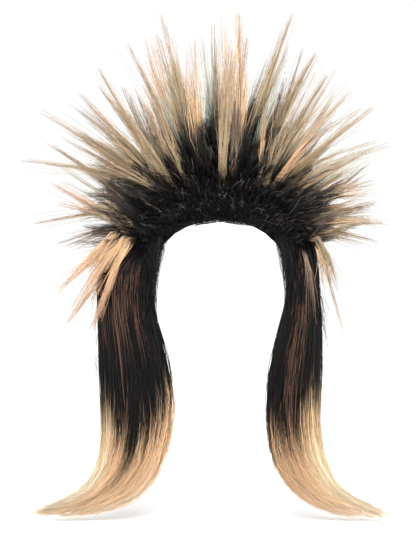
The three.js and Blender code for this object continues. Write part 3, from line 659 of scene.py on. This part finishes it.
def lock_strands(rings, rows, hand, count, shell=(0.72, 1.0), reach=None, wild=1.0, longer=1.0):
    """Strands that run down a long lock, and join in fine clumps on the way."""
    clumps = 46
    clump_angle = np.linspace(0, 2 * math.pi, clumps, endpoint=False) + RANDOM.uniform(-0.06, 0.06, clumps)
    clump = RANDOM.integers(0, clumps, count)
    angle = clump_angle[clump] + RANDOM.normal(0, 0.16, count)
    size = RANDOM.uniform(*shell, count)
    clump_size = RANDOM.uniform(0.74, 1.0, clumps)[clump]
    clump_end = RANDOM.uniform(0.9, 1.0, clumps)[clump]
    inner = np.clip(-np.cos(angle), 0, 1)
    ends = clump_end - 0.17 * RANDOM.random(count) ** 1.8 - 0.2 * inner * RANDOM.random(count)
    begins = RANDOM.uniform(0.0, 0.09, count)
    if reach:
        begins = RANDOM.uniform(reach[0], reach[1], count)
        ends = np.minimum(begins + longer * RANDOM.uniform(0.03, 0.13, count), 0.99)
    steps = np.linspace(0, 1, rings)
    along = begins[:, None] + (ends - begins)[:, None] * steps
    middle, side, width, depth = lock_frame(rows, hand, along)
    gather = 0.8 * smooth(along, 0.1, 0.75)
    drift = 0.10 * np.sin(2 * math.pi * (along * RANDOM.uniform(0.4, 1.1, (count, 1)) + RANDOM.random((count, 1))))
    now = angle[:, None] * (1 - gather) + clump_angle[clump][:, None] * gather + drift
    grown = clump_size * RANDOM.uniform(0.85, 1.02, count)
    radius = size[:, None] * (1 - gather) + grown[:, None] * gather
    waves = RANDOM.uniform(1, 2.5, (count, 1))
    radius = radius + 0.012 * wild * np.sin(2 * math.pi * (along * waves + RANDOM.random((count, 1))))
    across = radius * np.cos(now)
    narrow = 1 - 0.45 * smooth(along, 0.75, 1)
    paths = middle + side * (across * width * narrow)[..., None]
    paths[..., 1] += radius * np.sin(now) * depth * narrow
    fray = smooth(along, 0.8, 1)[..., None]
    loose = RANDOM.normal(size=(count, 1, 3)) * np.array([0.003, 0.002, 0.0026]) * wild
    paths += fray * loose + frizz(along, count, 0.0004 * wild)
    return outside_head(paths, CAP_OUT), along, across, clump, steps


def long_lock(hair, rows, hand, count, blond, copper, warm_until):
    """A long lock: its blond end starts at a drop that differs across it, from its inner to its outer edge."""
    paths, along, across, clump, steps = lock_strands(hair.rings, rows, hand, count)
    number = len(paths)
    drop = rows_at(rows, along)["drop"]
    side = np.clip(across[:, hair.rings * 2 // 3], -1, 1)
    clump_start = RANDOM.normal(0, 0.03, clump.max() + 1)
    start = np.interp(side, *blond) + clump_start[clump] + RANDOM.normal(0, 0.03, number)
    colour = np.clip(0.2 + (drop - start[:, None]) / 0.3 * 0.8, 0.01, 0.99)
    names = ("dark", "dark", "cream", "cream", "mint", "taupe")
    clump_family = np.array([TONES.index(names[i]) for i in RANDOM.integers(0, len(names), clump.max() + 1)])
    family = np.where(RANDOM.random(number) < 0.55, clump_family[clump], TONES.index("dark"))
    warm = RANDOM.random(number) < np.interp(side, (-1, warm_until, warm_until + 0.3, 1), (0.75, 0.6, 0.15, 0.1))
    family = np.where(warm, TONES.index("khaki"), family)
    in_copper = (side > copper[0]) & (side < copper[1]) & (RANDOM.random(number) < copper[2])
    family = np.where(in_copper, TONES.index("peach"), family)
    hair.add(paths, strand_radii(steps, 1.2)[None].repeat(number, 0), tone_columns(family), colour)


def brown_sheen_streaks(hair, rows, hand, count, reach, widest):
    """Short fine brown strands on the front of a long lock: painted sheen, glints on its black hair."""
    paths, along, across, clump, steps = lock_strands(hair.rings, rows, hand, count * 6, (0.97, 1.03), reach)
    front = paths[..., 1].mean(1) < np.median(paths[..., 1])
    near = np.abs(across[:, 4] - widest[0]) < widest[1] * RANDOM.random(len(paths))
    kept = np.flatnonzero(front & near)[:count]
    paths, along = paths[kept], along[kept]
    paths[..., 1] -= 0.0008
    # The peach family's brown root colour: painted sheen
    colour = np.full(along.shape, 0.05)
    family = np.full(len(paths), TONES.index("peach"))
    size = RANDOM.uniform(0.2, 0.55, (len(paths), 1))
    hair.add(paths, strand_radii(steps)[None] * size, tone_columns(family), colour)


def flyaways(hair, rows, hand, count):
    """A few loose strands that leave a long lock's outer edge."""
    reach = (0.05, 0.8)
    paths, along, across, clump, steps = lock_strands(hair.rings, rows, hand, count * 5, (0.9, 1.0), reach, 1.0, 2.2)
    outer = np.argsort(-across[:, 4])[:count]
    paths, along = paths[outer], along[outer]
    away = np.abs(RANDOM.normal(0, 0.007, (count, 1))) * smooth(steps, 0.1, 1)
    paths[..., 0] += hand * away
    paths += frizz(np.tile(steps, (count, 1)), count, 0.0022, (0.5, 1.5))
    drop = rows_at(rows, along)["drop"]
    colour = np.clip(0.2 + (drop - 0.62) / 0.3 * 0.8, 0.01, 0.99)
    family = np.full(count, TONES.index("dark"))
    hair.add(paths, strand_radii(steps, 0.55)[None].repeat(count, 0), tone_columns(family), colour)


# Materials

def node(tree, kind, **settings):
    made = tree.nodes.new(kind)
    for name, value in settings.items():
        setattr(made, name, value)
    return made


def linear(rgb):
    return tuple(c / 12.92 if c <= 0.04045 else ((c + 0.055) / 1.055) ** 2.4 for c in (v / 255 for v in rgb)) + (1,)


def family_ramp(tree, colours):
    ramp = node(tree, "ShaderNodeValToRGB")
    ramp.color_ramp.interpolation = "CONSTANT"
    for i, (start, colour) in enumerate(zip(TONE_STARTS, colours)):
        element = ramp.color_ramp.elements[0] if i == 0 else ramp.color_ramp.elements.new(start / TONE_COLUMNS)
        element.position = start / TONE_COLUMNS
        element.color = linear(colour)
    ramp.color_ramp.elements.remove(ramp.color_ramp.elements[-1])
    return ramp


def mix_colours(tree, blend="MIX"):
    return node(tree, "ShaderNodeMix", data_type="RGBA", blend_type=blend)


def step_between(tree, value, low, high):
    step = node(tree, "ShaderNodeMapRange", interpolation_type="SMOOTHSTEP")
    step.inputs["From Min"].default_value = low
    step.inputs["From Max"].default_value = high
    tree.links.new(value, step.inputs["Value"])
    return step.outputs["Result"]


def hair_material(name, roots, middles, tips, roughness, gloss, first_change=(0.18, 0.42)):
    """Hair whose colour follows each strand: its tone column, and the place from its root to its tip."""
    material = bpy.data.materials.new(name)
    material.use_nodes = True
    tree = material.node_tree
    shader = tree.nodes["Principled BSDF"]
    shader.inputs["Roughness"].default_value = roughness
    shader.inputs["Specular IOR Level"].default_value = gloss
    uv = node(tree, "ShaderNodeUVMap", uv_map="OFBake")
    place = node(tree, "ShaderNodeSeparateXYZ")
    tree.links.new(uv.outputs["UV"], place.inputs["Vector"])
    ramps = [family_ramp(tree, colours) for colours in (roots, middles, tips)]
    for ramp in ramps:
        tree.links.new(place.outputs["X"], ramp.inputs["Fac"])
    first = mix_colours(tree)
    second = mix_colours(tree)
    tree.links.new(step_between(tree, place.outputs["Y"], *first_change), first.inputs["Factor"])
    tree.links.new(ramps[0].outputs["Color"], first.inputs["A"])
    tree.links.new(ramps[1].outputs["Color"], first.inputs["B"])
    tree.links.new(step_between(tree, place.outputs["Y"], 0.45, 0.95), second.inputs["Factor"])
    tree.links.new(first.outputs["Result"], second.inputs["A"])
    tree.links.new(ramps[2].outputs["Color"], second.inputs["B"])
    stretch = node(tree, "ShaderNodeVectorMath", operation="MULTIPLY")
    stretch.inputs[1].default_value = (TONE_COLUMNS * 1.7, 5, 1)
    tree.links.new(uv.outputs["UV"], stretch.inputs[0])
    noise = node(tree, "ShaderNodeTexNoise")
    noise.inputs["Scale"].default_value = 1
    noise.inputs["Detail"].default_value = 1
    tree.links.new(stretch.outputs["Vector"], noise.inputs["Vector"])
    shade = node(tree, "ShaderNodeMapRange")
    shade.inputs["From Min"].default_value = 0.3
    shade.inputs["From Max"].default_value = 0.7
    shade.inputs["To Min"].default_value = 0.62
    shade.inputs["To Max"].default_value = 1.25
    tree.links.new(noise.outputs["Fac"], shade.inputs["Value"])
    tinted = mix_colours(tree, "MULTIPLY")
    tinted.inputs["Factor"].default_value = 1
    tree.links.new(second.outputs["Result"], tinted.inputs["A"])
    tree.links.new(shade.outputs["Result"], tinted.inputs["B"])
    tree.links.new(tinted.outputs["Result"], shader.inputs["Base Color"])
    return material


def plain_material(name, colour, roughness, gloss, bump_scale, bump_height):
    material = bpy.data.materials.new(name)
    material.use_nodes = True
    tree = material.node_tree
    shader = tree.nodes["Principled BSDF"]
    shader.inputs["Roughness"].default_value = roughness
    shader.inputs["Specular IOR Level"].default_value = gloss
    place = node(tree, "ShaderNodeTexCoord")
    noise = node(tree, "ShaderNodeTexNoise")
    noise.inputs["Scale"].default_value = bump_scale
    noise.inputs["Detail"].default_value = 4
    tree.links.new(place.outputs["Object"], noise.inputs["Vector"])
    ramp = node(tree, "ShaderNodeValToRGB")
    ramp.color_ramp.elements[0].position = 0.3
    ramp.color_ramp.elements[1].position = 0.7
    ramp.color_ramp.elements[0].color = linear([0.9 * c for c in colour])
    ramp.color_ramp.elements[1].color = linear(colour)
    tree.links.new(noise.outputs["Fac"], ramp.inputs["Fac"])
    tree.links.new(ramp.outputs["Color"], shader.inputs["Base Color"])
    bump = node(tree, "ShaderNodeBump")
    bump.inputs["Strength"].default_value = 0.6
    bump.inputs["Distance"].default_value = bump_height
    tree.links.new(noise.outputs["Fac"], bump.inputs["Height"])
    tree.links.new(bump.outputs["Normal"], shader.inputs["Normal"])
    return material


def darken_outside(material):
    """Makes the outside of the cap, which the hair is sewn on, as dark as the roots."""
    tree = material.node_tree
    shader = tree.nodes["Principled BSDF"]
    white = shader.inputs["Base Color"].links[0].from_socket
    place = node(tree, "ShaderNodeTexCoord")
    away = node(tree, "ShaderNodeVectorMath", operation="SUBTRACT")
    away.inputs[1].default_value = tuple(HEAD_MIDDLE)
    tree.links.new(place.outputs["Object"], away.inputs[0])
    surface = node(tree, "ShaderNodeNewGeometry")
    facing = node(tree, "ShaderNodeVectorMath", operation="DOT_PRODUCT")
    tree.links.new(away.outputs["Vector"], facing.inputs[0])
    tree.links.new(surface.outputs["Normal"], facing.inputs[1])
    outside = mix_colours(tree)
    tree.links.new(step_between(tree, facing.outputs["Value"], 0.03, 0.05), outside.inputs["Factor"])
    tree.links.new(white, outside.inputs["A"])
    outside.inputs["B"].default_value = linear((20, 18, 18))
    tree.links.new(outside.outputs["Result"], shader.inputs["Base Color"])


BLACK = (24, 22, 22)
STREAKED = hair_material(
    "streaked_hair",
    (BLACK, (30, 24, 21), (26, 24, 22), (24, 23, 22), (22, 20, 19), (14, 13, 13)),
    ((166, 145, 112), (218, 180, 139), (194, 181, 152), (190, 194, 180), (134, 114, 96), (40, 34, 31)),
    ((166, 140, 114), (200, 160, 130), (186, 172, 150), (186, 190, 182), (134, 112, 95), (76, 60, 50)),
    0.42, 0.3)
# Here the taupe family's paler middles and tips paint the glints of the lighter strands in the black hair: painted
# highlight
DARK = hair_material(
    "teased_dark_hair",
    (BLACK, BLACK, BLACK, BLACK, (22, 20, 20), (9, 8, 8)),
    ((60, 50, 42), (60, 46, 38), (60, 50, 42), (60, 50, 42), (80, 74, 70), (24, 22, 22)),
    ((90, 76, 62), (90, 70, 56), (90, 76, 62), (90, 76, 62), (130, 121, 114), (46, 43, 42)),
    0.32, 0.2)
LONG = hair_material(
    "long_hair",
    # The peach family's brown roots are the painted sheen of the brown streaks, and also the copper strands' own
    # colour
    ((12, 10, 10), (104, 76, 63), (20, 17, 15), (18, 16, 15), (24, 19, 17), (9, 8, 8)),
    ((226, 182, 142), (226, 178, 138), (212, 184, 144), (202, 180, 148), (168, 140, 110), (200, 166, 126)),
    ((240, 212, 180), (240, 210, 178), (242, 230, 202), (236, 228, 208), (216, 194, 160), (234, 212, 174)),
    0.36, 0.14, (0.08, 0.5))
ROOTS = plain_material("dark_roots", (7, 6, 6), 0.9, 0.02, 900, 0.001)
NET = plain_material("cap_net", (255, 254, 253), 0.9, 0.1, 1400, 0.0002)
darken_outside(NET)
BAND = plain_material("front_band", (10, 9, 10), 0.9, 0.04, 1600, 0.0008)


# Solid cores under the strands

def start_editing():
    bpy.ops.object.select_all(action="DESELECT")


def finish_core(obj, name, material, replaced=()):
    obj.name = name
    obj.data.name = name
    bpy.ops.object.transform_apply(location=True, rotation=True, scale=True)
    obj.data.materials.clear()
    obj.data.materials.append(material)
    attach(obj, "root")
    if replaced:
        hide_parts(*replaced)
    return obj


def crown_core():
    """The dense dark roots round the cap: a thick dome, cut along the hairline."""
    start_editing()
    bpy.ops.mesh.primitive_uv_sphere_add(segments=64, ring_count=40, radius=1, location=tuple(HEAD_MIDDLE))
    obj = bpy.context.object
    bpy.ops.object.mode_set(mode="EDIT")
    bpy.ops.mesh.select_all(action="SELECT")
    gap = CAP_OUT + 0.0005
    size = (HEAD_HALF_BREADTH + gap, HEAD_HALF_LENGTH + gap, HEAD_RISE + gap)
    bpy.ops.transform.resize(value=size, center_override=tuple(HEAD_MIDDLE))
    hairline = (0, -HEAD_HALF_LENGTH, -0.040)
    bpy.ops.mesh.bisect(plane_co=hairline, plane_no=(0, -0.36, -0.93), clear_outer=True)
    bpy.ops.object.mode_set(mode="OBJECT")
    group = obj.vertex_groups.new(name="depth")
    for vertex in obj.data.vertices:
        rim = hairline[2] - 0.39 * (vertex.co.y + HEAD_MIDDLE[1] - hairline[1])
        above = (vertex.co.z + HEAD_MIDDLE[2]) - rim
        weight = min(1.0, max(0.0, above / 0.055)) ** 0.6
        group.add([vertex.index], 0.16 + 0.84 * weight, "REPLACE")
    solid = obj.modifiers.new("depth", "SOLIDIFY")
    solid.thickness = HAIR_DEPTH - 0.008
    solid.offset = 1
    solid.vertex_group = "depth"
    bpy.ops.object.modifier_apply(modifier="depth")
    lumps = bpy.data.textures.new("lumps", "CLOUDS")
    lumps.noise_scale = 0.02
    displace = obj.modifiers.new("lumps", "DISPLACE")
    displace.texture = lumps
    displace.texture_coords = "LOCAL"
    displace.strength = 0.005
    bpy.ops.object.modifier_apply(modifier="lumps")
    bpy.ops.object.shade_smooth()
    return finish_core(obj, "dark_root_mass", ROOTS, ("forehead_hair",))


def lock_core(name, rows, hand, node_name):
    """The body of a long lock: one oval section drawn down through the lock's table, a little inside its strands."""
    start_editing()
    places = np.linspace(0.05, 0.9, 16)
    middles, sides, widths, depths = lock_frame(rows, hand, places)
    inside = 0.8 - 0.5 * smooth(places, 0.65, 0.95)
    widths, depths = widths * inside, depths * inside
    turns = np.arctan2(sides[:, 2] * hand, sides[:, 0] * hand)
    bpy.ops.mesh.primitive_circle_add(vertices=24, radius=1, fill_type="NGON", location=tuple(middles[0]))
    obj = bpy.context.object
    bpy.ops.object.mode_set(mode="EDIT")
    bpy.ops.mesh.select_all(action="SELECT")
    first = (widths[0], depths[0], 1)
    bpy.ops.transform.resize(value=first, center_override=tuple(middles[0]))
    for i in range(1, len(places)):
        step = tuple(middles[i] - middles[i - 1])
        bpy.ops.mesh.extrude_region_move(TRANSFORM_OT_translate={"value": step})
        ratio = (widths[i] / widths[i - 1], depths[i] / depths[i - 1], 1)
        turned = hand * turns[i - 1]
        here = tuple(middles[i])
        bpy.ops.transform.rotate(value=-turned, orient_axis="Y", center_override=here)
        bpy.ops.transform.resize(value=ratio, center_override=here)
        bpy.ops.transform.rotate(value=hand * turns[i], orient_axis="Y", center_override=here)
    bpy.ops.mesh.select_all(action="SELECT")
    bpy.ops.mesh.normals_make_consistent(inside=False)
    bpy.ops.object.mode_set(mode="OBJECT")
    rounded = obj.modifiers.new("rounded", "SUBSURF")
    rounded.levels = rounded.render_levels = 1
    bpy.ops.object.modifier_apply(modifier="rounded")
    bpy.ops.object.shade_smooth()
    return finish_core(obj, name, CORE, (node_name,))


def core_material():
    """Dark above and blond below, for the bodies of the long locks."""
    material = bpy.data.materials.new("long_hair_body")
    material.use_nodes = True
    tree = material.node_tree
    shader = tree.nodes["Principled BSDF"]
    shader.inputs["Roughness"].default_value = 0.6
    shader.inputs["Specular IOR Level"].default_value = 0.2
    place = node(tree, "ShaderNodeTexCoord")
    split = node(tree, "ShaderNodeSeparateXYZ")
    tree.links.new(place.outputs["Object"], split.inputs["Vector"])
    ramp = node(tree, "ShaderNodeValToRGB")
    height = node(tree, "ShaderNodeMapRange")
    height.inputs["From Min"].default_value = -0.34
    height.inputs["From Max"].default_value = -0.26
    tree.links.new(split.outputs["Z"], height.inputs["Value"])
    tree.links.new(height.outputs["Result"], ramp.inputs["Fac"])
    ramp.color_ramp.elements[0].color = linear((160, 132, 98))
    ramp.color_ramp.elements[1].color = linear((20, 18, 18))
    tree.links.new(ramp.outputs["Color"], shader.inputs["Base Color"])
    return material


CORE = core_material()


def dress_frame():
    for name, material in (("cap", NET), ("front_band", BAND)):
        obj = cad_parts[name]
        obj.data.materials.clear()
        obj.data.materials.append(material)


def make_hair():
    crown_core()
    lock_core("right_lock_body", RIGHT_LOCK, -1, "right_side_lock")
    lock_core("left_lock_body", LEFT_LOCK, 1, "left_side_lock")

    middle_dark = ((0, 25, 50, 78), (0.5, 0.42, 0.22, 0.12))
    front = Hair(21, 5)
    spikes(front, FRONT_FAN, 160, pure=0.7)
    spikes(front, FRONT_STREAKS, 160, 0.1, 1, 0.5)
    wisps_between(front, 22, (-72, 74), (18, 34), (0.3, 1.0), (0.6, 0.96), 28, middle_dark)
    front.piece("front_fan_hair", STREAKED, ("front_fan",))
    crown = Hair(22, 5)
    spikes(crown, CROWN_FAN, 145)
    wisps_between(crown, 24, (-66, 74), (-10, 14), (-0.5, 0.3), (0.66, 0.98), 28, middle_dark)
    crown.piece("crown_fan_hair", STREAKED, ("crown_fan",))
    side_dark = ((70, 130), (0.6, 0.6))
    right = Hair(23, 4)
    spikes(right, RIGHT_EAR, 160, pure=0.94)
    wisps_between(right, 14, (-82, -118), (24, 46), (0.5, 1.0), (0.5, 0.86), 34, side_dark, (0, 1, 1, 4))
    hanging_spikes(right, RIGHT_HANGING)
    right.piece("right_ear_hair", STREAKED, ("right_ear_spikes",))
    left = Hair(24, 4)
    spikes(left, LEFT_EAR, 150, pure=0.85)
    wisps_between(left, 14, (78, 112), (24, 46), (0.5, 1.0), (0.5, 0.86), 34, side_dark, (0, 1, 1, 4))
    hanging_spikes(left, LEFT_HANGING)
    left.piece("left_ear_hair", STREAKED, ("left_ear_spikes",))
    back = Hair(25, 4, clear_of_opening)
    back_spikes(back, 120)
    back.piece("back_fan_hair", STREAKED, ("back_fan",))
    nape = Hair(26, 4, clear_of_opening)
    nape_spikes(nape, 90)
    nape.piece("nape_hair_strands", STREAKED, ("nape_hair",))

    top = Hair(27, 4, clear_of_edge)
    teased_hair(top, 2800, (0, 100), (0, 0.85), (0.046, 0.042, 0.034, 0.024))
    teased_hair(top, 2400, (0, 95), (0.8, 1.0), (0.03, 0.03, 0.022, 0.012), upwards=0.5)
    teased_hair(top, 1200, (0, 80), (0.93, 1.0), (0.02, 0.02, 0.02, 0.012), upwards=0.1)
    teased_hair(top, 2600, (0, 100), (0, 0.85), (0.080, 0.074, 0.058, 0.04), tuft=26)
    top.piece("teased_front_hair", DARK)
    rear = Hair(28, 4, clear_of_opening)
    teased_hair(rear, 3000, (90, 180), (0.1, 1.0), (0.034, 0.034, 0.03, 0.02), upwards=0.1)
    teased_hair(rear, 1500, (95, 180), (0.1, 0.95), (0.05, 0.05, 0.045, 0.03), tuft=24)
    rear.piece("teased_back_hair", DARK)
    temples = Hair(29, 4, clear_of_opening)
    temple_hair(temples, -1, 1500)
    temple_hair(temples, 1, 1500)
    temples.piece("temple_hair", DARK)
    edge = Hair(30, 5, clear_of_edge)
    band_hair(edge, 1700)
    edge_hair(edge, 1700, (0.008, 0.02), 0.5)
    edge_hair(edge, 400, (0.004, 0.009), 0)
    edge_hair(edge, 1500, (0.004, 0.010), -0.4, (0.75, 1))
    edge.piece("front_edge_hair", DARK)

    right_blond = ((-1, -0.75, -0.4, 0, 0.5, 1), (0.6, 0.69, 0.76, 0.775, 0.745, 0.68))
    left_blond = ((-1, -0.5, 0, 0.3, 0.6, 1), (0.71, 0.74, 0.76, 0.71, 0.66, 0.63))
    for name, rows, hand, blond, brown, copper, warm in (
        ("right", RIGHT_LOCK, -1, right_blond, ((0.12, 0.35), (0.2, 1.0)), (0, 0.5, 0.012), 0.4),
        ("left", LEFT_LOCK, 1, left_blond, ((0.25, 0.66), (-0.1, 0.5)), (-0.5, 0.1, 0.1), -0.1),
    ):
        hair = Hair(31 + hand, 9)
        long_lock(hair, rows, hand, 2000, blond, copper, warm)
        # Brown streaks: painted sheen on the black part of the lock
        brown_sheen_streaks(hair, rows, hand, 190, *brown)
        flyaways(hair, rows, hand, 90)
        hair.piece(name + "_lock_hair", LONG)


# The studio

FLOOR = -0.3706
VIEW_MIDDLE = (-0.013, 0, -0.1095)
VIEW_HEIGHT = 0.605
CAMERA_DISTANCE = 2.2
CAMERA_LEVEL = 0.015


def studio():
    bpy.ops.object.select_all(action="DESELECT")
    bpy.ops.mesh.primitive_plane_add(size=1, location=(0, 0, FLOOR))
    floor = bpy.context.object
    floor.name = "studio_floor"
    floor.scale = (14, 14, 1)
    bpy.ops.object.transform_apply(location=True, rotation=True, scale=True)
    white = bpy.data.materials.new("studio_floor_painted_shade")
    white.use_nodes = True
    shader = white.node_tree.nodes["Principled BSDF"]
    far = node(white.node_tree, "ShaderNodeVectorMath", operation="LENGTH")
    place = node(white.node_tree, "ShaderNodeTexCoord")
    white.node_tree.links.new(place.outputs["Object"], far.inputs[0])
    # Painted shade: the floor's colour is half as pale near the wig and rises to full white from 0.18 m to 0.45 m out,
    # to deepen the shadows under the locks
    pale = node(white.node_tree, "ShaderNodeMapRange", interpolation_type="SMOOTHSTEP")
    pale.inputs["From Min"].default_value = 0.18
    pale.inputs["From Max"].default_value = 0.45
    pale.inputs["To Min"].default_value = 0.5
    pale.inputs["To Max"].default_value = 1.0
    white.node_tree.links.new(far.outputs["Value"], pale.inputs["Value"])
    white.node_tree.links.new(pale.outputs["Result"], shader.inputs["Base Color"])
    shader.inputs["Roughness"].default_value = 0.9
    shader.inputs["Specular IOR Level"].default_value = 0
    floor.data.materials.append(white)

    world = bpy.data.worlds.new("studio")
    world.use_nodes = True
    world.node_tree.nodes["Background"].inputs["Color"].default_value = (1, 1, 1, 1)
    world.node_tree.nodes["Background"].inputs["Strength"].default_value = 1.02
    bpy.context.scene.world = world

    for name, place, target, size, power in (
        ("key", (-0.2, -1.9, 1.25), (0, 0, -0.1), 0.8, 26),
        ("fill", (0.3, -2.4, -0.1), (0, 0, -0.1), 1.0, 34),
        ("top", (0.1, -1.1, 1.7), (0, 0, -0.1), 1.8, 46),
    ):
        light = bpy.data.lights.new(name, "AREA")
        light.size = size
        light.energy = power
        lamp = bpy.data.objects.new(name, light)
        lamp.location = place
        way = np.array(target) - np.array(place)
        lamp.rotation_euler = (
            math.acos(-way[2] / np.linalg.norm(way)),
            0,
            math.atan2(way[1], way[0]) - math.pi / 2,
        )
        bpy.context.scene.collection.objects.link(lamp)


def camera():
    data = bpy.data.cameras.new("camera")
    data.lens = data.sensor_width * CAMERA_DISTANCE / VIEW_HEIGHT
    data.clip_end = 50
    obj = bpy.data.objects.new("camera", data)
    obj.location = (VIEW_MIDDLE[0], -CAMERA_DISTANCE, CAMERA_LEVEL)
    pitch = math.atan2(CAMERA_LEVEL - VIEW_MIDDLE[2], CAMERA_DISTANCE)
    obj.rotation_euler = (math.pi / 2 - pitch, 0, 0)
    bpy.context.scene.collection.objects.link(obj)
    bpy.context.scene.camera = obj
    bpy.context.scene.view_settings.view_transform = "Standard"


dress_frame()
make_hair()
studio()
camera()
